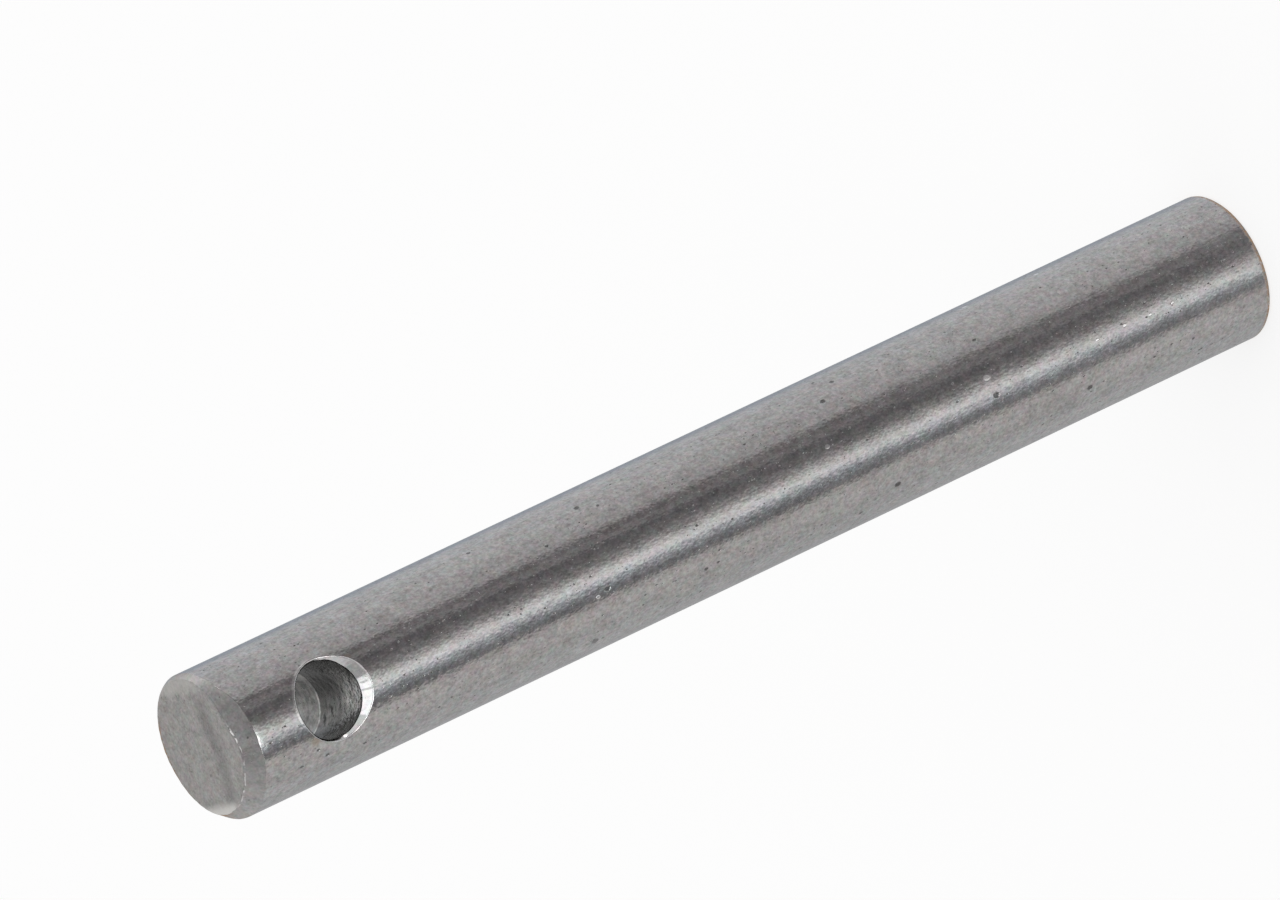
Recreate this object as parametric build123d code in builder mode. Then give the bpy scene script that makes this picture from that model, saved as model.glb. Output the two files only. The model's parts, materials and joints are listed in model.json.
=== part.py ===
from build123d import *
import os

# Shear bolt: a plain round steel bar, cut square at one end, turned to a
# shallow lead-in chamfer at the other, with one countersunk cross hole for a
# split pin close to the chamfered end.
#
# Frame: millimetres, +Z up along the bolt's axis. The origin is the centre of
# the plain end face, on which the bolt stands. The cross hole runs along Y.

# ---- driving dimensions -----------------------------------------------------
shank_d = 10.0  # drawn bar diameter
bolt_length = 83.0  # overall length, face to face

lead_height = 1.1  # lead-in chamfer, measured along the axis
lead_depth = 0.58  # lead-in chamfer, measured across the radius

plain_break = 0.15  # edge break on the plain, square-cut end

hole_d = 5.0  # split-pin hole, for a split pin of nominal size 5
hole_to_end = 7.0  # chamfered end face to hole axis
countersink_depth = 0.6  # 90 degree countersink, depth below the bar's crown

shank_r = shank_d / 2
hole_r = hole_d / 2
hole_z = bolt_length - hole_to_end

# ---- shear bolt -------------------------------------------------------------
with BuildPart() as shear_bolt:
    # Bar with its lead-in chamfer and broken plain edge, as one turned section.
    with BuildSketch(Plane.XZ) as section:
        with BuildLine() as outline:
            Polyline(
                (0, 0),
                (shank_r - plain_break, 0),
                (shank_r, plain_break),
                (shank_r, bolt_length - lead_height),
                (shank_r - lead_depth, bolt_length),
                (0, bolt_length),
                close=True,
            )
        make_face()
    revolve(axis=Axis.Z)

    # Cross hole for the split pin, straight through the bar's axis.
    with Locations(Plane(origin=(0, 0, hole_z), x_dir=(1, 0, 0), z_dir=(0, -1, 0))):
        Hole(radius=hole_r, depth=shank_d)

    # A 90 degree countersink at each mouth: a cone whose small end meets the
    # bore countersink_depth below the bar's crown, and which runs out at the
    # hole's flanks, where the bar's own surface is already lower than that.
    mouth = shank_r - countersink_depth
    rim = shank_r + 1.0
    for side in (-1, 1):
        with BuildSketch(Plane.YZ) as countersink_section:
            with BuildLine() as countersink_outline:
                Polyline(
                    (side * mouth, hole_z),
                    (side * mouth, hole_z + hole_r),
                    (side * rim, hole_z + hole_r + rim - mouth),
                    (side * rim, hole_z),
                    close=True,
                )
            make_face()
        revolve(axis=Axis((0, 0, hole_z), (0, 1, 0)), mode=Mode.SUBTRACT)

shear_bolt.part.label = "shear_bolt"

# ---- write ------------------------------------------------------------------
os.makedirs("parts", exist_ok=True)
export_step(shear_bolt.part, "parts/shear_bolt.step")
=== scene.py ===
"""Looks for the shear bolt: a bright-drawn steel bar, chamfered at one end, with a
countersunk cross hole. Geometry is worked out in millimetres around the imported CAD
part and written in metres, in the CAD part's own frame."""

import json
import math

import bpy
import numpy as np
from mathutils import Matrix, Vector

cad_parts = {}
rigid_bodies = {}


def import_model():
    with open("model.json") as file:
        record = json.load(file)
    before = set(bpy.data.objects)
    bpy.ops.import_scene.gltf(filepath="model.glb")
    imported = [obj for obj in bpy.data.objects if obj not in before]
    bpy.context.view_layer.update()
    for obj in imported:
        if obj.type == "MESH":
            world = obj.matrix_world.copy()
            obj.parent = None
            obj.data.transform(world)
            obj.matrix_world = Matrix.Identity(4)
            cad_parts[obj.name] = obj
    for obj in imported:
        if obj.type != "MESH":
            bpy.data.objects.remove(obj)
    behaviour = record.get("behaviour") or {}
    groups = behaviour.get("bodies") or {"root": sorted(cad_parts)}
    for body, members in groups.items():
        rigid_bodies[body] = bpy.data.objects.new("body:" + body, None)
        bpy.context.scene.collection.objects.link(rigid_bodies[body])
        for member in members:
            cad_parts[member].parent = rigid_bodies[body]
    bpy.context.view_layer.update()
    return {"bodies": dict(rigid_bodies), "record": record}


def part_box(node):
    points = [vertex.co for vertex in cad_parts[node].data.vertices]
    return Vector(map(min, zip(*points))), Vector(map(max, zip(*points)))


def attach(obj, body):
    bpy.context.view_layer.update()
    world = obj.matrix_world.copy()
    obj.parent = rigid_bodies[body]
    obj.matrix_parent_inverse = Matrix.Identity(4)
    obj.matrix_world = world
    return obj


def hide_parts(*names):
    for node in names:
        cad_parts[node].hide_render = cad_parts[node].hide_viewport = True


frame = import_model()
scene = bpy.context.scene

# ---------------------------------------------------------------- frame sizes, mm
LO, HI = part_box("shear_bolt")
LENGTH = round(HI.z * 1000, 3)  # 83
RADIUS = round(HI.y * 1000, 3)  # 5
MOUNTS = {m["name"]: m for m in frame["record"]["mounts"]}
HOLE_Z = MOUNTS["split_pin_hole"]["pos_m"][2] * 1000
HOLE_R = MOUNTS["split_pin_hole"]["dims"]["r_mm"]
HOLE_LIP = MOUNTS["split_pin_hole"]["dims"]["length_mm"] / 2  # height of the bore's edge
SKIN = RADIUS - 0.0095  # the finished surface lies a hair inside the CAD bar
TOP = LENGTH - 0.003


# ---------------------------------------------------------------- noise helpers


def ring_noise(angle, seed, lowest, highest, falloff=1.0):
    """Smooth noise round a closed ring, about -1..1."""
    rng = np.random.RandomState(seed)
    out = np.zeros_like(angle)
    total = 0.0
    for k in range(lowest, highest + 1):
        size = 1.0 / k**falloff
        out += size * np.sin(k * angle + rng.uniform(0, 2 * math.pi))
        total += size * size
    return out / math.sqrt(total) * 0.8


def field_noise(a, b, seed, count, reach, squeeze=1.0):
    """Smooth noise over a surface: a sum of waves of wavelengths from reach[0] to reach[1]."""
    rng = np.random.RandomState(seed)
    out = np.zeros(np.broadcast(a, b).shape)
    for _ in range(count):
        wave = 2 * math.pi / rng.uniform(*reach)
        turn = rng.uniform(0, math.pi)
        out = out + np.sin(
            wave * (a * math.cos(turn) + b * math.sin(turn) * squeeze)
            + rng.uniform(0, 2 * math.pi)
        )
    return out / math.sqrt(count)


# ---------------------------------------------------------------- mesh store
SHAFT, LEAD, FACE, SINK, BORE, PLAIN = range(6)
verts, quads, tris, quad_mat, tri_mat = [], [], [], [], []
count = 0


def add(points):
    """Adds an (n, 3) array of points in mm and returns their indices."""
    global count
    points = np.asarray(points, float)
    verts.append(points)
    found = np.arange(count, count + len(points))
    count += len(points)
    return found


def bridge(a, b, mat, closed=True, flip=False):
    """Quads between two rings of equal length."""
    a2, b2 = np.roll(a, -1), np.roll(b, -1)
    q = np.stack([a, a2, b2, b], 1)
    if not closed:
        q = q[:-1]
    if flip:
        q = q[:, ::-1]
    quads.append(q)
    quad_mat.append(np.full(len(q), mat))


def unit(v):
    return v / np.maximum(np.linalg.norm(v, axis=1, keepdims=True), 1e-12)


def rounded(corner, before, after, reach, steps=4, guard=0.03):
    """Rings that round a corner between two surfaces, with a guard ring on each side."""
    reach = np.broadcast_to(np.asarray(reach, float), (len(corner),))[:, None]
    u, v = unit(before - corner), unit(after - corner)
    rings = [corner + u * (reach + guard)]
    for s in np.linspace(0, 1, steps + 1):
        rings.append(
            (1 - s) ** 2 * (corner + u * reach)
            + 2 * s * (1 - s) * corner
            + s * s * (corner + v * reach)
        )
    rings.append(corner + v * (reach + guard))
    return rings


# ---------------------------------------------------------------- bar
COLS = 360
theta = np.radians(np.arange(COLS) * 360 / COLS)
HALF = 44  # half width of a hole's block, in columns
BLOCK = 4.0  # and its half height, in mm
z_low = np.concatenate([[0.42], np.linspace(0.8, HOLE_Z - BLOCK, 56)])
z_block = np.linspace(HOLE_Z - BLOCK, HOLE_Z + BLOCK, 41)

# The lead-in chamfer is off centre: broad on the side that faces -Y and -X, and little
# more than a broken edge on the side away from it. Each row is the direction round the
# bar in degrees, then the chamfer's depth and its height in mm.
LEAD_SHAPE = np.array(
    [
        (-180, 0.70, 0.74),
        (-156, 0.98, 0.82),
        (-145, 1.06, 0.84),
        (-129, 1.04, 0.88),
        (-119, 0.99, 0.97),
        (-110, 0.93, 1.01),
        (-102, 0.84, 0.98),
        (-96, 0.92, 0.96),
        (-89, 1.03, 0.97),
        (-81, 1.18, 0.94),
        (-75, 1.24, 0.88),
        (-64, 1.14, 0.90),
        (-57, 1.02, 0.76),
        (-51, 0.88, 0.56),
        (-44, 0.70, 0.42),
        (-36, 0.54, 0.38),
        (-20, 0.36, 0.34),
        (0, 0.25, 0.28),
        (30, 0.15, 0.22),
        (60, 0.12, 0.17),
        (90, 0.12, 0.17),
        (120, 0.18, 0.26),
        (150, 0.36, 0.56),
    ]
)


def round_bar(column, soften=4.0):
    """One column of LEAD_SHAPE as a smooth ring over the mesh's columns."""
    at = np.degrees(theta)
    around_twice = np.concatenate([LEAD_SHAPE[:, 0] + k for k in (0, 360)])
    ring = np.interp(at, around_twice, np.tile(LEAD_SHAPE[:, column], 2))
    off = np.minimum(np.arange(COLS), COLS - np.arange(COLS)) * 360 / COLS
    kernel = np.exp(-0.5 * (off / soften) ** 2)
    kernel /= kernel.sum()
    return np.real(np.fft.ifft(np.fft.fft(ring) * np.fft.fft(kernel)))


lead_depth = round_bar(1)
lead_height = round_bar(2)
lead_depth = lead_depth * (1 + 0.035 * ring_noise(theta, 3, 4, 26, 0.5))
edge_z = TOP - lead_height * (1 + 0.025 * ring_noise(theta, 5, 5, 40, 0.5))
z_high_start = HOLE_Z + BLOCK


def waver(angle, z):
    """How far the drawn bar's skin lies under its nominal radius: a few micrometres."""
    rng = np.random.RandomState(9)
    total = np.zeros(np.broadcast(angle, z).shape)
    for k in (1, 1, 2, 2, 3, 3, 4, 5, 6):
        total = total + np.sin(k * angle + rng.uniform(0, 6.3)) * np.sin(
            2 * math.pi * z / rng.uniform(9, 30) + rng.uniform(0, 6.3)
        )
    return 0.0035 * (1 - np.clip(total / 3, -1, 1))


def on_bar(z):
    z = np.broadcast_to(np.asarray(z, float), theta.shape)
    r = SKIN - waver(theta, z)
    return np.stack([r * np.cos(theta), r * np.sin(theta), z], 1)


left, right = 270 - HALF, 270 + HALF
rows = list(z_low) + list(z_block[1:])
grid = []  # per row: index array of COLS, -1 inside the hole blocks
inside = np.zeros(COLS, bool)
inside[left + 1 : right] = True
inside[90 - HALF + 1 : 90 + HALF] = True
for z in rows:
    p = on_bar(z)
    hidden = inside & (z > z_block[0] + 1e-6) & (z < z_block[-1] - 1e-6)
    idx = np.full(COLS, -1)
    idx[~hidden] = add(p[~hidden])
    grid.append(idx)
first_block_row = len(z_low) - 1
last_block_row = len(rows) - 1
cell_in_block = np.zeros(COLS, bool)
cell_in_block[left:right] = True
cell_in_block[90 - HALF : 90 + HALF] = True
for r in range(len(rows) - 1):
    a, b = grid[r], grid[r + 1]
    a2, b2 = np.roll(a, -1), np.roll(b, -1)
    q = np.stack([a, a2, b2, b], 1)
    if first_block_row <= r < last_block_row:
        q = q[~cell_in_block]
    quads.append(q)
    quad_mat.append(np.full(len(q), SHAFT))

# ---------------------------------------------------------------- cross hole
nodes = []  # (row, column) round the block, counter-clockwise seen from -Y
nodes += [(first_block_row, c) for c in range(left, right)]
nodes += [(r, right) for r in range(first_block_row, last_block_row)]
nodes += [(last_block_row, c) for c in range(right, left, -1)]
nodes += [(r, left) for r in range(last_block_row, first_block_row, -1)]
node_row = np.array([n[0] for n in nodes])
node_col = np.array([n[1] for n in nodes])
edge_a = SKIN * np.sin(np.radians(node_col - 270.0))
edge_b = np.array(rows)[node_row] - HOLE_Z
beta = np.arctan2(edge_b, edge_a)
K = len(nodes)


def skin_at(a, b, side):
    """Height over the bar's axis of its skin, a across and b along from the hole."""
    angle = np.arctan2(side * np.sqrt(np.maximum(SKIN**2 - a**2, 0)), a)
    r = SKIN - waver(angle, HOLE_Z + b)
    return np.sqrt(np.maximum(r**2 - a**2, 0))


# The countersinks were cut by hand and lean towards the plain end: the width across the
# cut, in shares of the CAD countersink's depth, by direction round the hole in degrees.
SINK_SHAPE = np.array(
    [
        (-180, 0.32),
        (-160, 0.40),
        (-140, 0.50),
        (-130, 0.60),
        (-120, 0.70),
        (-110, 0.80),
        (-100, 0.90),
        (-90, 0.96),
        (-80, 0.98),
        (-70, 0.96),
        (-60, 0.90),
        (-50, 0.73),
        (-40, 0.54),
        (-30, 0.38),
        (-20, 0.29),
        (0, 0.25),
        (60, 0.28),
        (90, 0.28),
        (130, 0.25),
        (160, 0.27),
        (180, 0.32),
    ]
)


def mouth(seed):
    """Width of the countersink round one mouth, per node."""
    at = np.degrees(beta)
    width = np.zeros(K)
    for off, share in ((-8, 0.15), (-4, 0.2), (0, 0.3), (4, 0.2), (8, 0.15)):
        turned = (at + off + 180) % 360 - 180
        width += share * np.interp(turned, SINK_SHAPE[:, 0], SINK_SHAPE[:, 1])
    width *= RADIUS - HOLE_LIP
    width *= 1 + 0.03 * ring_noise(beta, seed, 2, 9, 0.8)
    # hardly more than a broken edge on the side towards the chamfered end
    near_end = ((np.degrees(beta) - 70 + 180) % 360 - 180) / 60.0
    width *= 1 - 0.38 * np.exp(-(near_end**4))
    width += 0.007 * ring_noise(beta, seed + 1, 8, 40, 0.4)
    return np.maximum(width, 0.085)


def place(a, b, h, side):
    """Points at plane place (a, b) round the hole and height h over the bar's axis."""
    return np.stack([a, side * h, HOLE_Z + b], 1)


def lifted(a, b, side):
    return place(a, b, skin_at(a, b, side), side)


lips = {}
# Each mouth lies a little off the other: the drillings from the two sides don't meet.
SHIFT = {-1: 0.0, 1: 0.06}
for side, seed in ((-1, 21), (1, 31)):
    flip = side > 0
    col = node_col if side < 0 else (360 - node_col) % 360
    ring = np.array([grid[r][c] for r, c in zip(node_row, col)])
    width = mouth(seed)
    r_out = HOLE_R + width
    ca, cb = r_out * np.cos(beta), r_out * np.sin(beta) + SHIFT[side]
    la, lb = HOLE_R * np.cos(beta), HOLE_R * np.sin(beta) + SHIFT[side]
    # the bar's surface, running in to the mouth
    away_a = edge_a - ca
    away_b = edge_b - cb
    away = np.hypot(away_a, away_b)
    for t in np.linspace(0, 1, 13)[1:-1]:
        s = away - t * (away - 0.2)
        nxt = add(lifted(ca + away_a / away * s, cb + away_b / away * s, side))
        bridge(ring, nxt, SHAFT, flip=flip)
        ring = nxt
    corner = lifted(ca, cb, side)
    before = lifted(ca + away_a / away * 0.2, cb + away_b / away * 0.2, side)
    # 90 degrees in all, and a little steeper towards the plain end
    h_in = side * corner[:, 1] - width * (1 + 0.17 * np.maximum(-np.sin(beta), 0))
    lip = place(la, lb, h_in, side)
    slope = np.linalg.norm(corner - lip, axis=1)
    turn_out = np.minimum(
        0.07 + 0.02 * ring_noise(beta, seed + 2, 3, 24, 0.4), slope * 0.4
    )
    turn_in = np.minimum(
        0.06 + 0.02 * ring_noise(beta, seed + 3, 3, 24, 0.4), slope * 0.3
    )
    for i, p in enumerate(rounded(corner, before, lip, turn_out, 5, 0.02)):
        nxt = add(p)
        bridge(ring, nxt, SHAFT if i < 3 else SINK, flip=flip)
        ring = nxt
    start = corner + unit(lip - corner) * (turn_out + 0.02)[:, None]
    deep = place(la, lb, h_in - 1.0, side)
    end = lip + unit(corner - lip) * (turn_in + 0.015)[:, None]
    # the cutter's chatter: shallow flutes that run down the countersink
    inward = np.stack([-np.cos(beta), np.full(K, side * 1.0), -np.sin(beta)], 1)
    inward = unit(inward)
    flutes = 0.0055 * ring_noise(beta, seed + 4, 22, 60, 0.1)
    for t in np.linspace(0, 1, 10)[1:-1]:
        swell = math.sin(math.pi * t) * np.clip(width / 0.5, 0, 1)
        nxt = add(start + (end - start) * t + inward * (flutes * swell)[:, None])
        bridge(ring, nxt, SINK, flip=flip)
        ring = nxt
    for i, p in enumerate(rounded(lip, start, deep, turn_in, 4, 0.015)):
        nxt = add(p)
        bridge(ring, nxt, SINK if i < 3 else BORE, flip=flip)
        ring = nxt
    lips[side] = (ring, h_in - turn_in - 0.015)

# The bore was drilled from both sides. The two drillings meet at STEP_H over the bar's
# axis, flush with each other there, and part from line towards the far mouth.
STEP_H = -0.98
ring, top_h = lips[-1]
end_ring, low_h = lips[1]


def wall(height, drift, seed, rough):
    """One ring of the bore, with the drill's marks, at a height over the axis."""
    level = height + 0.10 * beta / math.pi  # the marks climb as the drill's do
    tool = (
        0.003 * np.sin(level * 2 * math.pi / 0.62 + seed)
        + 0.002 * np.sin(level * 2 * math.pi / 0.41 + 2.1 * seed)
        + 0.005 * ring_noise(beta + float(np.mean(height)) * 0.5, seed, 3, 16, 0.8)
    ) * rough
    r = HOLE_R + np.minimum(tool, 0.012)
    # drill cuttings that were dragged along the wall left it torn in places
    torn = 0.004 * ring_noise(beta * 1.0 + 0.15 * level, seed + 5, 10, 60, 0.1)
    torn = torn * np.clip(np.sin(level * 1.9 + 3.0 * np.cos(beta)), 0, 1)
    r = r - np.abs(torn) * rough
    return r * np.cos(beta), r * np.sin(beta) + drift


RINGS = 40
ragged = 0.05 * ring_noise(beta, 47, 2, 26, 0.2)
for t in np.linspace(0, 1, RINGS)[1:]:
    h = top_h * (1 - t) + (STEP_H + ragged * t**3) * t
    a, b = wall(h, SHIFT[-1], 41, min(1.0, t * 5))
    if t < 1:
        nxt = add(place(a, b, h, -1))
        bridge(ring, nxt, BORE)
        ring = nxt
nxt = add(place(a, b, STEP_H + ragged, -1))
bridge(ring, nxt, BORE)
ring = nxt
for t in np.linspace(0, 1, 24)[1:-1]:
    h = (STEP_H - 0.09 + ragged * (1 - t)) * (1 - t) + (-low_h) * t
    part = SHIFT[1] * (1 - (1 - t) ** 1.2)
    a, b = wall(h, part, 43, min(1.0, (1 - t) * 5))
    nxt = add(place(a, b, h, -1))
    bridge(ring, nxt, BORE)
    ring = nxt
bridge(ring, end_ring, BORE)

# ---------------------------------------------------------------- chamfered end


def polar(r, z):
    r, z = np.broadcast_to(r, theta.shape), np.broadcast_to(z, theta.shape)
    return np.stack([r * np.cos(theta), r * np.sin(theta), z], 1)


ring = grid[-1]
# A stretch of the chamfer's outer edge was knocked down to a narrow facet.
around_worn = (np.degrees(theta) - 266 + 180) % 360 - 180
worn = np.exp(-((around_worn / 9.5) ** 4))
top_skin = SKIN - waver(theta, edge_z)
corner = polar(top_skin - 0.045 * worn, edge_z)
inner = polar(SKIN - lead_depth, TOP)
z0 = rows[-1]
for t in np.linspace(0, 1, 10)[1:-1]:
    z = z0 + (edge_z - 0.12 - 0.20 * worn - z0) * t
    nxt = add(polar(SKIN - waver(theta, z), z))
    bridge(ring, nxt, SHAFT)
    ring = nxt
slant = np.hypot(lead_depth, lead_height)
reach = 0.055 + 0.022 * ring_noise(theta, 51, 3, 40, 0.3)
reach = np.minimum(reach * (1 - 0.5 * worn), slant * 0.3)
below = polar(SKIN, edge_z - (1 - 0.77 * worn))
for i, p in enumerate(rounded(corner, below, inner, reach, 5, 0.02)):
    nxt = add(p)
    bridge(ring, nxt, SHAFT if i < 3 else LEAD)
    ring = nxt
lead_start = corner + unit(inner - corner) * (reach + 0.02)[:, None]
reach_in = np.minimum(0.055 + 0.04 * ring_noise(theta, 53, 4, 50, 0.2), slant * 0.3)
reach_in = np.maximum(reach_in, 0.012)
lead_end = inner + unit(corner - inner) * (reach_in + 0.02)[:, None]
along = inner - corner
lead_out = np.stack(
    [np.cos(theta) * along[:, 2], np.sin(theta) * along[:, 2], lead_depth], 1
)
lead_out = unit(lead_out)
for k, t in enumerate(np.linspace(0, 1, 14)[1:-1]):
    wave = -0.007 * (1 + ring_noise(theta + 0.02 * k, 60 + k // 3, 3, 22, 0.5))
    wave = wave * np.clip(slant / 0.9, 0, 1) * math.sin(math.pi * t) ** 0.5
    nxt = add(lead_start + (lead_end - lead_start) * t + lead_out * wave[:, None])
    bridge(ring, nxt, LEAD)
    ring = nxt
for i, p in enumerate(rounded(inner, corner, polar(0.0, TOP), reach_in, 5, 0.02)):
    nxt = add(p)
    bridge(ring, nxt, LEAD if i < 3 else FACE)
    ring = nxt


def break_line(x):
    """The y of the line across the end where the bar parted from its length."""
    return -1.35 + 0.22 * np.maximum(-x - 0.8, 0)


def face_relief(r):
    """How far the parted end lies below its highest point, in mm, per column."""
    x, y = r * np.cos(theta), r * np.sin(theta)
    low = field_noise(x, y, 71, 10, (2.2, 7.0))
    fine = field_noise(x, y, 73, 20, (0.5, 1.4))
    trough = np.exp(-(((y - break_line(x)) / 0.65) ** 2))
    trough = trough * np.clip((3.4 - x) / 2.5, 0, 1)
    fade = np.clip((SKIN - lead_depth - 0.1 - r) / 0.45, 0, 1)
    return (0.010 * (1 + low / 2.4) + 0.003 * (1 + fine / 3) + 0.013 * trough) * fade


face_r = SKIN - lead_depth - reach_in - 0.02
for s in np.concatenate([np.linspace(1, 0.06, 34)[1:], [0.03]]):
    r = face_r * s
    nxt = add(polar(r, TOP - np.maximum(face_relief(r), 0)))
    bridge(ring, nxt, FACE)
    ring = nxt
middle = add(np.array([[0, 0, TOP - 0.012]]))[0]
tris.append(np.stack([ring, np.roll(ring, -1), np.full(COLS, middle)], 1))
tri_mat.append(np.full(COLS, FACE))

# ---------------------------------------------------------------- plain end
ring = grid[0]
BREAK = 0.15
foot_edge = BREAK + 0.02 * ring_noise(theta, 81, 4, 30, 0.4)
corner = polar(SKIN - waver(theta, foot_edge), foot_edge)
foot = polar(SKIN - BREAK, 0.0)
for i, p in enumerate(rounded(corner, polar(SKIN, 1.0), foot, 0.04, 3, 0.02)):
    nxt = add(p)
    bridge(ring, nxt, SHAFT if i < 2 else PLAIN, flip=True)
    ring = nxt
for i, p in enumerate(rounded(foot, corner, polar(0.0, 0.0), 0.04, 3, 0.02)):
    nxt = add(p)
    bridge(ring, nxt, PLAIN, flip=True)
    ring = nxt
for s in np.concatenate([np.linspace(1, 0.1, 9)[1:], [0.04]]):
    nxt = add(polar((SKIN - BREAK - 0.06) * s, 0.0))
    bridge(ring, nxt, PLAIN, flip=True)
    ring = nxt
middle = add(np.array([[0, 0, 0.0]]))[0]
tris.append(np.stack([np.roll(ring, -1), ring, np.full(COLS, middle)], 1))
tri_mat.append(np.full(COLS, PLAIN))

# ---------------------------------------------------------------- object
co = np.concatenate(verts) / 1000.0
q, t = np.concatenate(quads), np.concatenate(tris)
loops = np.concatenate([q.ravel(), t.ravel()]).astype(np.int32)
sizes = np.concatenate([np.full(len(q), 4), np.full(len(t), 3)]).astype(np.int32)
starts = np.concatenate([[0], np.cumsum(sizes)[:-1]]).astype(np.int32)
mesh = bpy.data.meshes.new("bolt_steel")
mesh.vertices.add(len(co))
mesh.vertices.foreach_set("co", co.astype(np.float32).ravel())
mesh.loops.add(len(loops))
mesh.loops.foreach_set("vertex_index", loops)
mesh.polygons.add(len(sizes))
mesh.polygons.foreach_set("loop_start", starts)
mesh.polygons.foreach_set("loop_total", sizes)
mesh.update(calc_edges=True)
if mesh.validate(verbose=False):
    raise RuntimeError("the bolt's mesh was not clean")
mesh.polygons.foreach_set(
    "material_index", np.concatenate(quad_mat + tri_mat).astype(np.int32)
)
mesh.polygons.foreach_set("use_smooth", np.ones(len(sizes), bool))
mesh.update()

# One map at the same scale all over, 64 mm of surface across it: the skin in three
# lengths, and the ends, countersinks, chamfer and bore beside them.
polygon_mat = np.concatenate(quad_mat + tri_mat)
first = np.repeat(np.arange(len(sizes)), sizes)
corner_mm = co[loops] * 1000
centre = np.stack(
    [np.bincount(first, corner_mm[:, k]) / sizes for k in range(3)], 1
)
zone = polygon_mat[first]
mid = centre[first]
SEAM = math.radians(30)


def spun(x, y, cx, cy, seam=SEAM):
    """Angle of each corner from the seam, on the same turn as its face's centre."""
    at = (np.arctan2(cy, cx) - seam) % (2 * math.pi)
    return at + (np.arctan2(y, x) - seam - at + math.pi) % (2 * math.pi) - math.pi


px, py, pz = corner_mm.T
u, v = np.zeros(len(loops)), np.zeros(len(loops))
cut = [min(rows, key=lambda z: abs(z - LENGTH * k / 3)) for k in (1, 2)]
turn_mm = spun(px, py, mid[:, 0], mid[:, 1]) * 5.0
strip = (mid[:, 2] > cut[0]).astype(int) + (mid[:, 2] > cut[1])
base_z = np.array([0, cut[0], cut[1]])[strip]
off_u = np.array([0.3, 32.3, 0.3])[strip]
off_v = np.array([0.3, 0.3, 28.9])[strip]
m = zone == SHAFT
u[m], v[m] = (off_u + turn_mm)[m], (off_v + pz - base_z)[m]
m = zone == LEAD
u[m], v[m] = (0.3 + turn_mm)[m], (58.2 + pz - TOP + 1.3 - np.hypot(px, py) + 5)[m]
m = zone == FACE
u[m], v[m] = (37.6 + px)[m], (34.2 + py)[m]
m = zone == PLAIN
u[m], v[m] = (48.2 + px)[m], (34.2 + py)[m]
for side, cu, cv in ((-1, 57.2, 32.6), (1, 57.2, 40.0)):
    m = (zone == SINK) & (mid[:, 1] * side > 0)
    u[m], v[m] = (cu + side * px)[m], (cv + pz - HOLE_Z)[m]
m = zone == BORE
bore_turn = spun(px, pz - HOLE_Z, mid[:, 0], mid[:, 2] - HOLE_Z, math.pi)
u[m], v[m] = (32.6 + bore_turn * HOLE_R)[m], (45.4 + py)[m]
uv_map = mesh.uv_layers.new(name="OFBake")
uv_map.data.foreach_set(
    "uv", (np.stack([u, v], 1) / 64.0).astype(np.float32).ravel()
)
bolt = bpy.data.objects.new("bolt_steel", mesh)
scene.collection.objects.link(bolt)
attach(bolt, "root" if "root" in frame["bodies"] else next(iter(frame["bodies"])))
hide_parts("shear_bolt")
print("triangles", 2 * len(q) + len(t), "points", len(co))

# ---------------------------------------------------------------- materials


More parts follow.
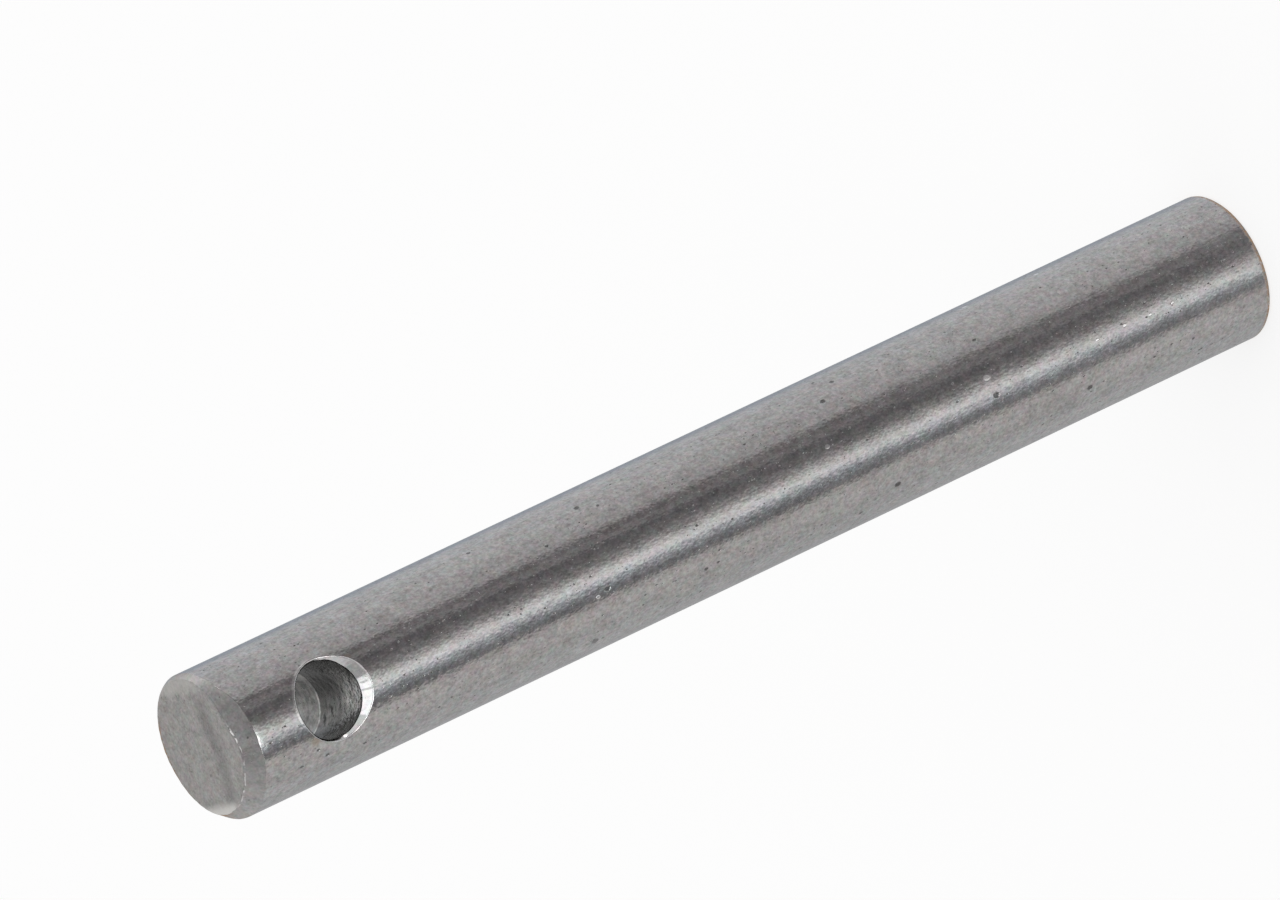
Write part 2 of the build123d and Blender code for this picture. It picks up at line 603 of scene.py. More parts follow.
class Nodes:
    """A small helper to write node trees as expressions."""

    def __init__(self, tree):
        self.tree = tree
        tree.nodes.clear()

    def new(self, kind, **props):
        n = self.tree.nodes.new(kind)
        for k, v in props.items():
            setattr(n, k, v)
        return n

    def put(self, socket, value):
        if isinstance(value, bpy.types.NodeSocket):
            self.tree.links.new(value, socket)
        else:
            socket.default_value = value

    def math(self, op, *values, clamp=False):
        n = self.new("ShaderNodeMath", operation=op, use_clamp=clamp)
        for s, v in zip(n.inputs, values):
            self.put(s, v)
        return n.outputs[0]

    def vmath(self, op, *values):
        n = self.new("ShaderNodeVectorMath", operation=op)
        for s, v in zip(n.inputs, values):
            self.put(s, v)
        one = op in ("LENGTH", "DOT_PRODUCT", "DISTANCE")
        return n.outputs["Value"] if one else n.outputs[0]

    def mix(self, factor, a, b):
        """Float mix."""
        n = self.new("ShaderNodeMix", data_type="FLOAT", clamp_factor=True)
        self.put(n.inputs[0], factor)
        self.put(n.inputs[2], a)
        self.put(n.inputs[3], b)
        return n.outputs[0]

    def colour(self, factor, a, b, blend="MIX"):
        n = self.new("ShaderNodeMix", data_type="RGBA", blend_type=blend, clamp_factor=True)
        self.put(n.inputs[0], factor)
        for s, v in ((n.inputs[6], a), (n.inputs[7], b)):
            if isinstance(v, tuple) and len(v) == 3:
                v = (*v, 1.0)
            self.put(s, v)
        return n.outputs[2]

    def step(self, value, low, high, out_low=0.0, out_high=1.0, smooth=True):
        n = self.new(
            "ShaderNodeMapRange",
            interpolation_type="SMOOTHSTEP" if smooth else "LINEAR",
            clamp=True,
        )
        self.put(n.inputs["Value"], value)
        self.put(n.inputs["From Min"], low)
        self.put(n.inputs["From Max"], high)
        self.put(n.inputs["To Min"], out_low)
        self.put(n.inputs["To Max"], out_high)
        return n.outputs[0]

    def noise(self, vector, scale, detail=2.0, rough=0.5, distortion=0.0):
        n = self.new("ShaderNodeTexNoise", noise_dimensions="3D")
        self.put(n.inputs["Vector"], vector)
        n.inputs["Scale"].default_value = scale
        n.inputs["Detail"].default_value = detail
        n.inputs["Roughness"].default_value = rough
        n.inputs["Distortion"].default_value = distortion
        return n.outputs["Fac"] if "Fac" in n.outputs else n.outputs[0]

    def cells(self, vector, scale, randomness=1.0):
        n = self.new("ShaderNodeTexVoronoi", voronoi_dimensions="3D", feature="F1")
        self.put(n.inputs["Vector"], vector)
        n.inputs["Scale"].default_value = scale
        n.inputs["Randomness"].default_value = randomness
        return n.outputs["Distance"], n.outputs["Color"]

    def ramp(self, factor, stops, interpolation="LINEAR"):
        n = self.new("ShaderNodeValToRGB")
        n.color_ramp.interpolation = interpolation
        e = n.color_ramp.elements
        while len(e) > 1:
            e.remove(e[-1])
        e[0].position, e[0].color = stops[0][0], (*stops[0][1], 1)
        for at, c in stops[1:]:
            k = e.new(at)
            k.color = (*c, 1)
        self.put(n.inputs[0], factor)
        return n.outputs[0]


# The side of the bar that faces the photographer, round from the axis of X.
FRONT = math.radians(-83.94)
# Single marks on the skin, dark pits and painted glints: degrees round the bar from FRONT, mm along
# it, radius, tone.
PITS_AND_GLINTS = [
    (-47, 31.1, 0.22, 0.05),
    (-41, 46.8, 0.13, 0.08),
    (-40, 45.8, 0.10, 0.10),
    (-61, 55.6, 0.26, 0.16),
    (-20, 54.5, 0.20, 0.16),
    (-14, 22.5, 0.20, 0.10),
    (-42, 15.2, 0.18, 0.08),
    (-59, 34.0, 0.14, 0.12),
    (31, 21.9, 0.13, 0.08),
    (39, 33.8, 0.16, 0.08),
    (54, 32.0, 0.15, 0.12),
    (48, 53.2, 0.17, 0.10),
    (41, 52.0, 0.11, 0.10),
    (54, 61.5, 0.13, 0.10),
    (28, 57.0, 0.12, 0.08),
    (1, 22.7, 0.24, 0.95),
    (5, 35.6, 0.15, 0.90),
    (-23, 55.3, 0.13, 0.95),
    (72, 19.8, 0.15, 0.95),
    (70, 14.0, 0.15, 0.95),
    (-38, 77.9, 0.12, 0.12),
    (-46, 77.2, 0.13, 0.12),
    (-36, 76.4, 0.10, 0.12),
    (-46, 79.2, 0.11, 0.14),
    (-52, 74.2, 0.12, 0.12),
    (-8, 11.6, 0.13, 0.95),
    (-9, 9.5, 0.10, 0.95),
    (-8, 7.6, 0.10, 0.95),
    (-9, 13.9, 0.09, 0.95),
]
# Painted light and shade on the chamfer's turned face, by x in mm: its colour changes about threefold,
# darkest from x 0 to 2.7 and lightest near x 4.3.
CHAMFER_PAINTED_LIGHT_AND_SHADE = [
    (-5.0, 0.44),
    (-3.8, 0.40),
    (-2.9, 0.43),
    (-2.3, 0.44),
    (-1.3, 0.40),
    (-0.6, 0.30),
    (0.0, 0.235),
    (0.5, 0.205),
    (1.3, 0.215),
    (2.2, 0.20),
    (2.7, 0.225),
    (3.3, 0.28),
    (3.9, 0.46),
    (4.3, 0.61),
    (4.8, 0.50),
    (5.0, 0.36),
]
# Painted light and shade in the bore, as scales of its colour across it by x: lighter near
# the mouth, deep shade in the middle, lighter in the drilling from the far side. The first table is
# where the first holds, by y.
PAINTED_LIP_LIGHT_REACH = [(-4.5, 1.0), (-3.0, 1.0), (-2.3, 0.5), (-1.6, 0.1), (-1.0, 0.0)]
PAINTED_LIGHT_AT_BORE_LIP = [
    (-2.4, 1.8),
    (-1.8, 1.3),
    (-1.4, 1.7),
    (-1.0, 2.3),
    (-0.6, 3.0),
    (-0.2, 2.4),
    (0.2, 1.5),
    (0.6, 0.95),
    (1.0, 0.65),
    (1.6, 0.5),
]
PAINTED_SHADE_IN_BORE_MIDDLE = [
    (-2.4, 0.5),
    (-1.8, 0.8),
    (-1.4, 0.88),
    (-1.0, 0.62),
    (-0.6, 0.56),
    (-0.2, 0.35),
    (0.2, 0.16),
    (0.6, 0.11),
    (1.0, 0.07),
    (1.7, 0.07),
    (2.3, 0.3),
]
PAINTED_LIGHT_ON_FAR_DRILLING = [
    (-1.8, 1.4),
    (-1.0, 1.3),
    (-0.6, 1.17),
    (-0.2, 1.0),
    (0.2, 0.74),
    (1.0, 0.6),
    (1.6, 0.8),
]
FINISH = {  # base colour and roughness of each finish of the same steel
    "drawn": ((0.437, 0.433, 0.433), 0.150),
    # the turned finish gets painted light and shade from the chamfer table below
    "turned": ((1.0, 0.975, 0.965), 0.42),  # shaded by CHAMFER_PAINTED_LIGHT_AND_SHADE below
    "parted": ((0.350, 0.342, 0.335), 0.36),
    "sunk": ((0.745, 0.742, 0.740), 0.16),
    "drilled": ((0.160, 0.160, 0.157), 0.25),
    "plain": ((0.360, 0.350, 0.340), 0.42),
}


def steel(name, kind):
    """One finish of the bolt's steel, worked out from the place on the bolt in mm."""
    mat = bpy.data.materials.new(name)
    mat.use_nodes = True
    n = Nodes(mat.node_tree)
    out = n.new("ShaderNodeOutputMaterial")
    bsdf = n.new("ShaderNodeBsdfPrincipled")
    n.tree.links.new(bsdf.outputs[0], out.inputs[0])
    texco = n.new("ShaderNodeTexCoord")
    mm = n.vmath("SCALE", texco.outputs["Object"])
    mm.node.inputs["Scale"].default_value = 1000.0
    sep = n.new("ShaderNodeSeparateXYZ")
    n.put(sep.inputs[0], mm)
    x, y, z = sep.outputs
    add, sub, mul = (
        lambda a, b, op=op: n.math(op, a, b) for op in ("ADD", "SUBTRACT", "MULTIPLY")
    )
    radius = n.math("SQRT", add(mul(x, x), mul(y, y)))
    base, rough = FINISH[kind]

    def squeezed(k):
        """Coordinates in mm in which marks come out k times as long along the bar."""
        return n.vmath("MULTIPLY", mm, (1.0, 1.0, 1.0 / k))

    def around_zero(value, size):
        return mul(sub(value, 0.5), size)

    # The skin's mottle has about the same strength at every scale from 1 mm down.
    skin = n.noise(squeezed(1.35), 0.85, 3.0, 0.93)
    grain = n.noise(squeezed(1.25), 4.0, 1.0, 0.9)
    cloud = n.noise(squeezed(1.8), 0.22, 3.0, 0.6)
    streak = n.noise(squeezed(24.0), 3.4, 3.0, 0.65)
    red = n.noise(squeezed(1.1), 1.9, 3.0, 0.75)
    blue = n.noise(n.vmath("ADD", mm, (37.0, 11.0, 5.0)), 1.6, 3.0, 0.7)

    # Pits: round cells of two sizes, thicker in some patches than in others.
    thick = n.step(n.noise(squeezed(2.0), 0.42, 2.0, 0.5), 0.38, 0.62, 0.0, 1.0)

    def pitted(scale, least, size, stretch):
        gap, which = n.cells(squeezed(stretch), scale)
        pick = n.new("ShaderNodeSeparateColor")
        n.put(pick.inputs[0], which)
        limit = n.mix(thick, least + 0.14, least)
        reach = n.math("MAXIMUM", mul(sub(pick.outputs[0], limit), size), 0.0)
        ragged = add(gap, around_zero(skin, 0.16))
        pit = n.step(ragged, mul(reach, 0.25), reach, 1.0, 0.0)
        return mul(pit, n.math("GREATER_THAN", reach, 0.012))

    small = pitted(3.4, 0.50, 0.60, 2.0)
    large = pitted(1.25, 0.80, 0.75, 1.2)
    grit = pitted(6.5, 0.48, 0.62, 2.0)
    pits = n.math("MAXIMUM", mul(small, 0.95), large)
    pits = n.math("MAXIMUM", pits, mul(grit, 0.62))

    # colour
    mottle = {"drawn": 0.80, "turned": 0.55, "parted": 0.8, "sunk": 0.40}.get(kind, 0.7)
    shade = add(1.0, around_zero(skin, mottle))
    shade = add(shade, around_zero(grain, mottle * 1.1))
    shade = add(shade, around_zero(cloud, 0.07))
    if kind == "drawn":
        shade = add(shade, around_zero(streak, 0.14))
        # the skin is a little duller over the middle of the bar
        shade = mul(shade, n.mix(n.step(z, 22, 36), 1.0, 0.965))
        shade = mul(shade, n.mix(n.step(z, 40, 54), 1.0, 1.035))
    if kind == "turned":
        # painted light and shade: the chamfer's colour is scaled by x from the table above
        along = mul(add(add(x, around_zero(skin, 0.6)), 5.0), 0.1)
        shade = mul(shade, n.ramp(along, [((a + 5) / 10, (k, k, k)) for a, k in CHAMFER_PAINTED_LIGHT_AND_SHADE]))
    elif kind == "sunk":
        # a fine scored line that divides the countersink's brightest stretch
        around_hole = n.math("ARCTAN2", sub(z, HOLE_Z), x)
        score = n.math("ABSOLUTE", add(around_hole, math.radians(99)))
        shade = mul(shade, n.step(score, 0.015, 0.032, 0.62, 1.0))
    tint = n.new("ShaderNodeCombineColor")
    n.put(tint.inputs[0], mul(add(1.0, around_zero(red, 0.33)), base[0]))
    n.put(tint.inputs[1], mul(sub(1.0, around_zero(red, 0.20)), base[1]))
    n.put(tint.inputs[2], mul(add(1.0, around_zero(blue, 0.28)), base[2]))
    shaded = n.vmath("SCALE", tint.outputs[0])
    n.put(shaded.node.inputs["Scale"], shade)
    dark = (0.07, 0.065, 0.06)
    sunk_in = {"drawn": 0.84, "turned": 0.25, "parted": 0.5, "plain": 0.5}.get(kind, 0.15)
    colour = n.colour(mul(pits, sunk_in), shaded, dark)

    rust_amount = None
    height = None
    marks = []
    if kind == "drawn":
        spots = n.noise(mm, 2.6, 4.0, 0.7)
        edge = n.step(add(z, around_zero(spots, 0.7)), 0.18, 0.42, 1.0, 0.0)
        rust_amount = mul(edge, n.step(spots, 0.34, 0.50))
        # two faint brown stains beside the hole
        for sx, sy, sz, wide in ((-2.1, -4.54, HOLE_Z + 2.0, 0.42), (1.9, -4.62, HOLE_Z - 2.35, 0.38)):
            gap = add(n.vmath("DISTANCE", mm, (sx, sy, sz)), around_zero(skin, 0.5))
            stain = n.step(gap, wide * 0.3, wide, 0.45, 0.0)
            colour = n.colour(stain, colour, (0.36, 0.28, 0.19))
        # a painted highlight along the mouth's rim on the side towards the chamfered end, where its
        # rounded edge catches the light
        rim = n.vmath("SUBTRACT", mm, (0.0, 0.0, HOLE_Z))
        rim = n.vmath("LENGTH", n.vmath("MULTIPLY", rim, (1.0, 0.0, 1.0)))
        rim = n.step(n.math("ABSOLUTE", sub(add(rim, around_zero(grain, 0.08)), 2.68)), 0.16, 0.05)
        rim = mul(rim, mul(n.step(z, HOLE_Z - 0.3, HOLE_Z + 0.6), n.math("LESS_THAN", y, 0.0)))
        rim = mul(rim, n.step(x, -1.7, -0.3))
        colour = n.colour(mul(rim, 0.55), colour, (0.86, 0.86, 0.86))
        # single marks that stand out: the darker are deep pits, the lighter are painted glints
        ragged = around_zero(grain, 0.5)
        at = squeezed(1.5)
        for turned, along, size, tone in PITS_AND_GLINTS:
            turned = math.radians(turned) + FRONT
            place_at = (SKIN * math.cos(turned), SKIN * math.sin(turned), along / 1.5)
            gap = add(n.vmath("DISTANCE", at, place_at), mul(ragged, size))
            spot = n.step(gap, size * 0.55, size, 1.0, 0.0)
            marks.append((spot, tone))
            colour = n.colour(mul(spot, 0.8), colour, (tone, tone, tone))
        # a dark stain part of the way along
        stain = n.vmath("SUBTRACT", mm, (-2.9, -4.1, 17.5))
        far = n.vmath("LENGTH", n.vmath("MULTIPLY", stain, (1.0, 1.0, 0.6)))
        stain = n.step(add(far, around_zero(skin, 2.5)), 0.4, 1.7, 0.22, 0.0)
        colour = n.colour(stain, colour, (0.20, 0.19, 0.18))
    elif kind == "parted":
        # The end is darker along the line where the bar parted from its length.
        line = add(-1.35, mul(n.math("MAXIMUM", sub(-0.8, x), 0.0), 0.22))
        off = n.math("ABSOLUTE", add(sub(y, line), around_zero(skin, 0.7)))
        band = mul(n.step(off, 1.05, 0.1), n.step(x, 3.6, 2.2))
        band = mul(band, n.step(radius, 3.7, 4.15, 1.0, 0.0))
        colour = n.colour(mul(band, 0.38), colour, (0.13, 0.13, 0.13))
        # lighter at the +X and -X edges of the end, and lighter still along one stretch of the -X edge
        lighter_edge = n.math("ABSOLUTE", x)
        lighter_edge = n.step(add(lighter_edge, around_zero(skin, 1.6)), 3.3, 4.3)
        colour = n.colour(mul(lighter_edge, 0.5), colour, (0.58, 0.57, 0.55))
        lighter_edge = mul(n.step(add(x, around_zero(skin, 0.8)), -3.5, -4.2), n.step(y, -1.4, -0.4))
        colour = n.colour(mul(lighter_edge, 0.75), colour, (0.76, 0.75, 0.73))
        spots = n.noise(mm, 2.2, 4.0, 0.65)
        rim = n.step(add(radius, around_zero(spots, 0.5)), 4.62, 4.85)
        side = mul(n.step(y, -0.5, 1.5), n.step(x, 3.2, 1.0))
        rust_amount = mul(mul(rim, side), n.step(spots, 0.40, 0.56))
    elif kind == "turned":
        spots = n.noise(mm, 2.2, 4.0, 0.65)
        side = mul(n.step(y, -0.5, 1.5), n.step(x, 3.2, 1.0))
        rust_amount = mul(side, n.step(spots, 0.42, 0.56))
        # the broken burr along the inner edge, painted bright as a highlight
        burr_painted_glint = n.step(z, TOP - 0.11, TOP - 0.05)
        burr_painted_glint = mul(burr_painted_glint, n.step(n.noise(mm, 2.4, 2.0, 0.6), 0.44, 0.56))
        burr_painted_glint = mul(burr_painted_glint, mul(n.step(x, 1.6, 0.4), n.step(x, -4.4, -3.4)))
        colour = n.colour(mul(burr_painted_glint, 0.9), colour, (0.80, 0.79, 0.78))
    elif kind == "drilled":
        # The drill's marks run round the bore, smeared and torn in patches.
        rings = n.noise(n.vmath("MULTIPLY", mm, (0.6, 2.4, 0.6)), 1.0, 1.0, 0.5)
        smear = n.noise(n.vmath("MULTIPLY", mm, (1.7, 1.1, 1.7)), 1.0, 2.0, 0.6)
        worked = add(1.05, add(around_zero(rings, 0.5), around_zero(smear, 2.2)))
        worked = n.math("MAXIMUM", worked, 0.2)
        # Painted light and shade on the wall, by place along the bore and across it.
        wobble = around_zero(smear, 0.7)

        def painted_tone_by_place(at, low, high, stops):
            share = n.math("DIVIDE", sub(add(at, wobble), low), high - low, clamp=True)
            ramp = n.ramp(share, [((a - low) / (high - low), (k / 3, k / 3, k / 3)) for a, k in stops])
            return mul(ramp, 3.0)

        # painted light and shade: each table scales the bore's colour by place
        far_wall_painted_light = painted_tone_by_place(x, -2.5, 2.5, PAINTED_LIGHT_ON_FAR_DRILLING)
        middle_wall_painted_shade = painted_tone_by_place(x, -2.5, 2.5, PAINTED_SHADE_IN_BORE_MIDDLE)
        lip_wall_painted_light = painted_tone_by_place(x, -2.5, 2.5, PAINTED_LIGHT_AT_BORE_LIP)
        near_wall_painted_light_and_shade = n.mix(painted_tone_by_place(y, -4.5, 1.5, PAINTED_LIP_LIGHT_REACH), middle_wall_painted_shade, lip_wall_painted_light)
        # a thin painted highlight where the two drillings meet
        meet = add(y, around_zero(smear, 0.12))
        painted_ridge_highlight = n.math("ABSOLUTE", sub(meet, 1.05))
        painted_ridge_highlight = mul(n.step(painted_ridge_highlight, 0.12, 0.06), n.step(x, 0.7, -0.2))
        # two tears, where cuttings dragged along the wall
        for cx, cy, lean, half, wide in (
            (-1.60, 0.28, 0.55, 0.45, 0.13),
            (-1.15, -0.47, 0.46, 0.30, 0.11),
        ):
            dx, dy = sub(x, cx), sub(y, cy)
            c, d = math.cos(lean), math.sin(lean)
            run = n.math("ABSOLUTE", add(mul(dx, c), mul(dy, d)))
            across = n.math("ABSOLUTE", sub(mul(dy, c), mul(dx, d)))
            across = add(across, around_zero(grain, 0.22))
            tear = mul(n.step(run, half * 1.2, half * 0.7), n.step(across, wide * 1.5, wide * 0.6))
            tear = mul(tear, n.math("LESS_THAN", z, HOLE_Z))
            worked = mul(worked, sub(1.0, mul(tear, 0.75)))
        # painted light: the far drilling is made brighter, most of all towards -X
        deep = n.step(meet, 1.0, 1.08)
        marked_and_painted_wall = n.vmath("SCALE", colour)
        level = add(n.mix(deep, near_wall_painted_light_and_shade, far_wall_painted_light), mul(painted_ridge_highlight, 1.4))
        n.put(marked_and_painted_wall.node.inputs["Scale"], mul(worked, level))
        colour = marked_and_painted_wall
        height = mul(sub(rings, 0.5), 0.007)
        height = add(height, mul(sub(smear, 0.5), 0.06))
    elif kind == "sunk":
        chatter = n.noise(n.vmath("MULTIPLY", mm, (5.0, 0.6, 5.0)), 1.0, 2.0, 0.6)
        height = mul(sub(chatter, 0.5), 0.005)
    elif kind == "plain":
        spots = n.noise(mm, 2.2, 4.0, 0.65)
        rim = n.step(radius, 4.5, 4.9)
        rust_amount = mul(rim, n.step(spots, 0.40, 0.58))
        saw = n.noise(n.vmath("MULTIPLY", mm, (0.25, 6.0, 1.0)), 1.0, 3.0, 0.6)
        height = mul(sub(saw, 0.5), 0.02)
    if kind in ("sunk", "drilled"):
        # dark brown rust along a stretch of each mouth's inner edge
        out_r = n.math("SQRT", add(mul(x, x), mul(sub(z, HOLE_Z), sub(z, HOLE_Z))))
        there = mul(n.step(x, -1.75, -1.95), n.step(z, HOLE_Z + 0.3, HOLE_Z + 0.5))
        there = mul(there, n.step(z, HOLE_Z + 1.75, HOLE_Z + 1.5))
        there = mul(there, n.step(n.math("ABSOLUTE", y), 3.62, 3.78))
        there = mul(there, n.step(add(out_r, around_zero(grain, 0.16)), 2.64, 2.56))
        colour = n.colour(mul(there, 0.85), colour, (0.085, 0.040, 0.024))
    if rust_amount is not None:
        rust = n.colour(spots, (0.17, 0.085, 0.035), (0.50, 0.29, 0.13))
        colour = n.colour(mul(rust_amount, 0.85), colour, rust)
    n.put(bsdf.inputs["Base Color"], colour)

    # roughness: duller towards the plain end
    r = add(rough, around_zero(skin, 0.12))
    r = add(r, around_zero(cloud, 0.08))
    if kind == "drawn":
        r = add(r, n.step(z, 62, 6, 0.0, 0.045))
        r = add(r, n.step(z, 5, 0.5, 0.0, 0.05))
    r = add(r, mul(pits, 0.22))
    if rust_amount is not None:
        r = n.mix(rust_amount, r, 0.68)
        n.put(bsdf.inputs["Metallic"], n.mix(rust_amount, 1.0, 0.3))
    else:
        bsdf.inputs["Metallic"].default_value = 1.0
    n.put(bsdf.inputs["Roughness"], n.math("MAXIMUM", r, 0.09))

    # relief in mm
    facet, _ = n.cells(squeezed(1.6), 4.2)
    bumps = mul(sub(skin, 0.5), 0.0155)
    bumps = add(bumps, mul(sub(grain, 0.5), 0.0095))
    bumps = add(bumps, mul(facet, 0.0038))
    bumps = sub(bumps, mul(pits, 0.022))
    if kind == "drawn":
        bumps = add(bumps, mul(sub(streak, 0.5), 0.003))
        for spot, tone in marks:
            bumps = add(bumps, mul(spot, -0.03 if tone < 0.5 else 0.008))
    elif kind == "sunk":
        bumps = mul(bumps, 0.35)
    elif kind in ("parted", "plain"):
        bumps = mul(bumps, 1.6)
    height = bumps if height is None else add(bumps, height)
    bump = n.new("ShaderNodeBump")
    bump.inputs["Strength"].default_value = 1.0
    bump.inputs["Distance"].default_value = 0.001
    n.put(bump.inputs["Height"], height)
    n.put(bsdf.inputs["Normal"], bump.outputs[0])
    return mat


for name, kind in (
    ("steel_drawn", "drawn"),
    ("steel_turned", "turned"),
    ("steel_parted", "parted"),
    ("steel_countersunk", "sunk"),
    ("steel_drilled", "drilled"),
    ("steel_plain_end", "plain"),
):
    mesh.materials.append(steel(name, kind))

# ---------------------------------------------------------------- floor
floor_mesh = bpy.data.meshes.new("floor")
S = 6.0
floor_mesh.from_pydata(
    [(-S, -S, -2e-5), (S, -S, -2e-5), (S, S, -2e-5), (-S, S, -2e-5)], [], [(0, 1, 2, 3)]
)
floor = bpy.data.objects.new("floor", floor_mesh)
scene.collection.objects.link(floor)
paper = bpy.data.materials.new("paper_floor")
paper.use_nodes = True
pn = Nodes(paper.node_tree)
p_out = pn.new("ShaderNodeOutputMaterial")
p_bsdf = pn.new("ShaderNodeBsdfPrincipled")
p_bsdf.inputs["Base Color"].default_value = (0.30, 0.30, 0.30, 1)
p_bsdf.inputs["Emission Color"].default_value = (1.0, 1.0, 1.0, 1)
p_bsdf.inputs["Emission Strength"].default_value = 0.755
p_bsdf.inputs["Roughness"].default_value = 0.95
p_bsdf.inputs["Specular IOR Level"].default_value = 0.0
# The floor is one-sided, so that the bolt's underside can be seen through it.
p_side = pn.new("ShaderNodeNewGeometry")
p_clear = pn.new("ShaderNodeBsdfTransparent")
p_mix = pn.new("ShaderNodeMixShader")
pn.put(p_mix.inputs[0], p_side.outputs["Backfacing"])
pn.tree.links.new(p_bsdf.outputs[0], p_mix.inputs[1])
pn.tree.links.new(p_clear.outputs[0], p_mix.inputs[2])
pn.tree.links.new(p_mix.outputs[0], p_out.inputs[0])
floor_mesh.materials.append(paper)
# The bolt stands up while soft light comes from all round it, from below its foot too.
floor.visible_glossy = False
floor.visible_shadow = False

# ---------------------------------------------------------------- studio light
# Soft light all round, as a tent gives it: brightness by direction. Angles are in
# degrees round the bolt, growing anticlockwise seen from above, from the side that the
# photographer stood on. Each row is an angle, then red, green and blue.
LOW = [  # level with the bolt's foot and below: what the bolt's side shows
    # the grey card away to the left, darker round behind
    (-180, 0.42, 0.42, 0.43),
    (-152, 0.51, 0.51, 0.52),
    (-136, 0.60, 0.60, 0.60),
    (-122, 0.66, 0.66, 0.66),
    (-112, 0.64, 0.64, 0.64),
    (-96, 0.66, 0.65, 0.64),
    (-66, 0.74, 0.71, 0.70),
    (-58, 0.73, 0.70, 0.68),
    # its edge, and a narrow dark gap
    (-54, 0.58, 0.55, 0.54),
    (-50, 0.27, 0.26, 0.26),
    (-46, 0.23, 0.23, 0.24),
    (-38, 0.37, 0.38, 0.40),
    # the bright strip
    (-32, 0.54, 0.56, 0.59),
    (-27, 0.90, 0.92, 0.96),
    (-22, 1.26, 1.26, 1.26),
    (-17, 1.20, 1.18, 1.15),
    (-8, 0.67, 0.65, 0.64),
    # the dark side of the room, with a faint streak in it
    (-2, 0.42, 0.40, 0.40),
    (4, 0.30, 0.29, 0.29),
    (10, 0.24, 0.23, 0.23),
    (21, 0.17, 0.16, 0.17),
    (28, 0.34, 0.33, 0.33),
    (32, 0.36, 0.34, 0.34),
    (37, 0.20, 0.18, 0.19),
    (41, 0.27, 0.26, 0.26),
    # the light card on the right, bluish and dark behind
    (46, 0.49, 0.47, 0.47),
    (53, 0.63, 0.61, 0.61),
    (72, 0.66, 0.64, 0.64),
    (88, 0.75, 0.74, 0.74),
    (120, 0.77, 0.77, 0.78),
    (136, 0.75, 0.76, 0.78),
    (148, 0.52, 0.55, 0.60),
    (160, 0.38, 0.42, 0.48),
]
HIGH = [  # 10 to 40 degrees up: what the chamfer and the chamfered end show
    (-180, 0.80, 0.79, 0.78),
    (-110, 0.78, 0.78, 0.78),
    (-85, 0.64, 0.64, 0.64),
    (-70, 0.41, 0.41, 0.41),
    (-45, 0.38, 0.38, 0.38),
    (-20, 0.60, 0.59, 0.59),
    (30, 0.68, 0.67, 0.67),
    (70, 0.74, 0.74, 0.74),
    (120, 0.84, 0.84, 0.84),
]
TOP = [  # nearer overhead
    (-180, 0.62, 0.62, 0.62),
    (-100, 0.60, 0.60, 0.61),
    (-62, 0.36, 0.36, 0.36),
    (-38, 0.37, 0.37, 0.37),
    (-16, 0.64, 0.64, 0.64),
    (20, 0.62, 0.62, 0.62),
    (120, 0.70, 0.70, 0.70),
]
LAMPS = [  # soft boxes: angle round, angle up, radius, width of the soft edge, brightness
    (26, 56, 26, 6, 0.7),
    (73, -17, 4, 3, 2.4),
    (-29, -9, 8, 5, 3.0),
    (-14, -9, 7, 4, 1.8),
]
world = bpy.data.worlds.new("studio")
scene.world = world
world.use_nodes = True
w = Nodes(world.node_tree)
w_out = w.new("ShaderNodeOutputWorld")
w_bg = w.new("ShaderNodeBackground")
w.tree.links.new(w_bg.outputs[0], w_out.inputs[0])
w_co = w.new("ShaderNodeTexCoord")
w_sep = w.new("ShaderNodeSeparateXYZ")
w.put(w_sep.inputs[0], w_co.outputs["Generated"])
turn = w.math("ARCTAN2", w_sep.outputs[1], w_sep.outputs[0])
turn = w.math("SUBTRACT", turn, FRONT)
turn = w.math("WRAP", turn, math.pi, -math.pi)
up = w.math("ARCSINE", w_sep.outputs[2])


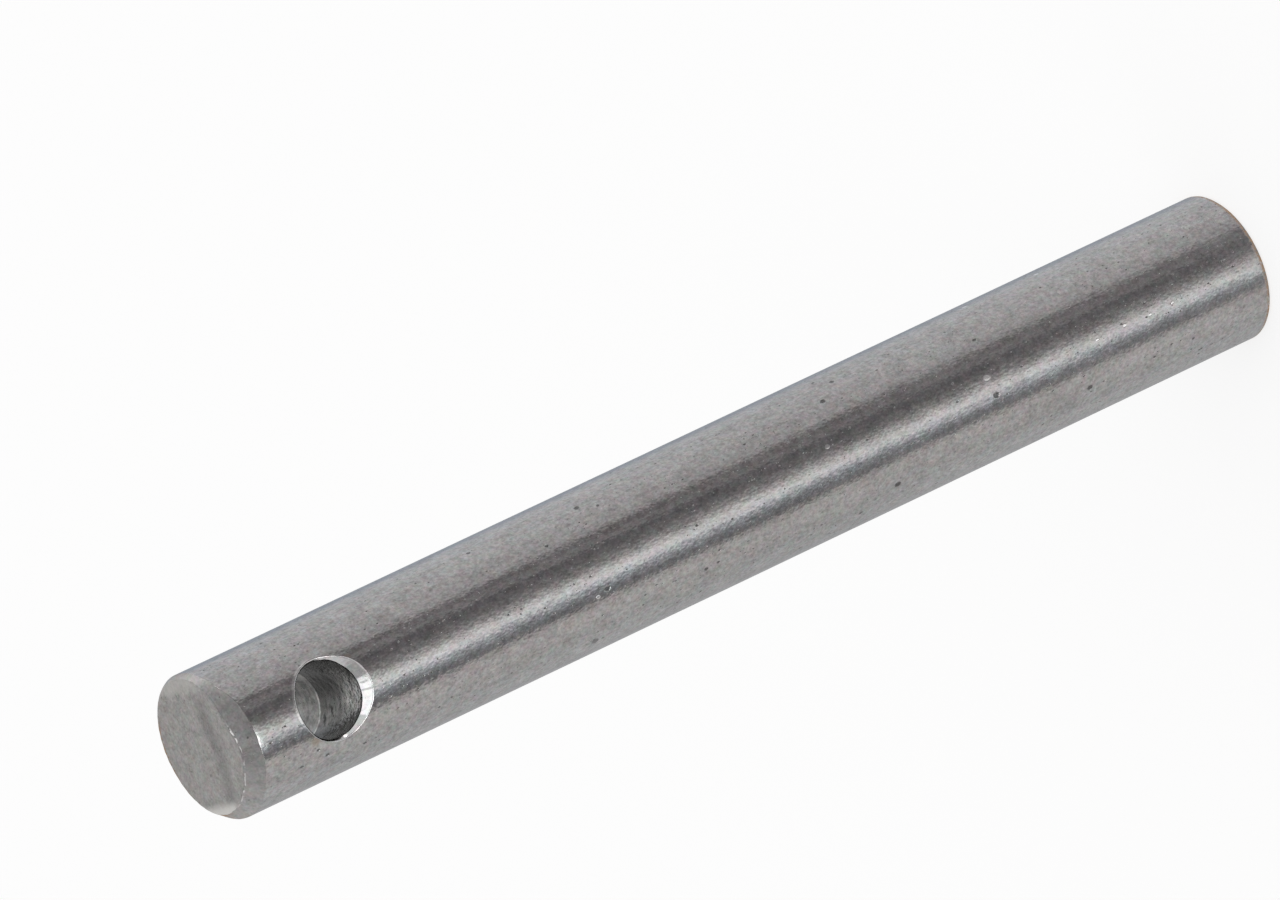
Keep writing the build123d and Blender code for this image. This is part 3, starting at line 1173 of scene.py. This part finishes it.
def around(stops):
    """Light by direction round the bolt: one colour ramp for each half turn."""
    stops = sorted(stops)
    closed = [(stops[-1][0] - 360, *stops[-1][1:]), *stops, (stops[0][0] + 360, *stops[0][1:])]

    def at(angle):
        return tuple(
            float(np.interp(angle, [s[0] for s in closed], [s[k] for s in closed]))
            for k in (1, 2, 3)
        )

    halves = []
    for low, high in ((-180, 0), (0, 180)):
        own = [(low, *at(low))] + [s for s in stops if low < s[0] < high] + [(high, *at(high))]
        share = w.math("DIVIDE", w.math("SUBTRACT", turn, math.radians(low)), math.pi, clamp=True)
        halves.append(
            w.ramp(share, [((a - low) / 180, (r / 2, g / 2, b / 2)) for a, r, g, b in own])
        )
    return w.colour(w.math("GREATER_THAN", turn, 0.0), *halves)


soft = w.colour(w.step(up, math.radians(-13), math.radians(9)), around(LOW), around(HIGH))
soft = w.colour(w.step(up, math.radians(36), math.radians(50)), soft, around(TOP))
BELOW = (0.24, 0.24, 0.24)  # half the grey under the bolt, as the tables are halved too
soft = w.colour(w.step(up, math.radians(-54), math.radians(-42)), BELOW, soft)
for side, rise, wide, edge, power in LAMPS:
    side, rise = math.radians(side) + FRONT, math.radians(rise)
    towards = (math.cos(side) * math.cos(rise), math.sin(side) * math.cos(rise), math.sin(rise))
    off = w.math("ARCCOSINE", w.vmath("DOT_PRODUCT", w_co.outputs["Generated"], towards))
    wide, edge = math.radians(wide), math.radians(edge) / 2
    glow = w.step(off, wide - edge, wide + edge, power / 2, 0.0)
    lit = w.new("ShaderNodeCombineColor")
    for socket in lit.inputs:
        w.put(socket, glow)
    soft = w.colour(1.0, soft, lit.outputs[0], "ADD")
path = w.new("ShaderNodeLightPath")
shown = w.colour(path.outputs["Is Camera Ray"], soft, (0.475, 0.475, 0.475))
w.put(w_bg.inputs[0], shown)
w_bg.inputs[1].default_value = 2.0

# ---------------------------------------------------------------- camera
cam_data = bpy.data.cameras.new("camera")
cam = bpy.data.objects.new("camera", cam_data)
scene.collection.objects.link(cam)
scene.camera = cam
cam_data.sensor_width = 36.0
cam_data.lens = 548.64
cam_data.clip_start, cam_data.clip_end = 0.01, 50.0
cam.matrix_world = Matrix(
    (
        (-0.37756572, 0.92192666, 0.0865758, 0.1122212),
        (-0.50175545, -0.12511216, -0.85591379, -1.0565917),
        (-0.77825805, -0.36660358, 0.50981979, 0.6749137),
        (0, 0, 0, 1),
    )
)

scene.view_settings.view_transform = "Standard"
scene.view_settings.look = "None"
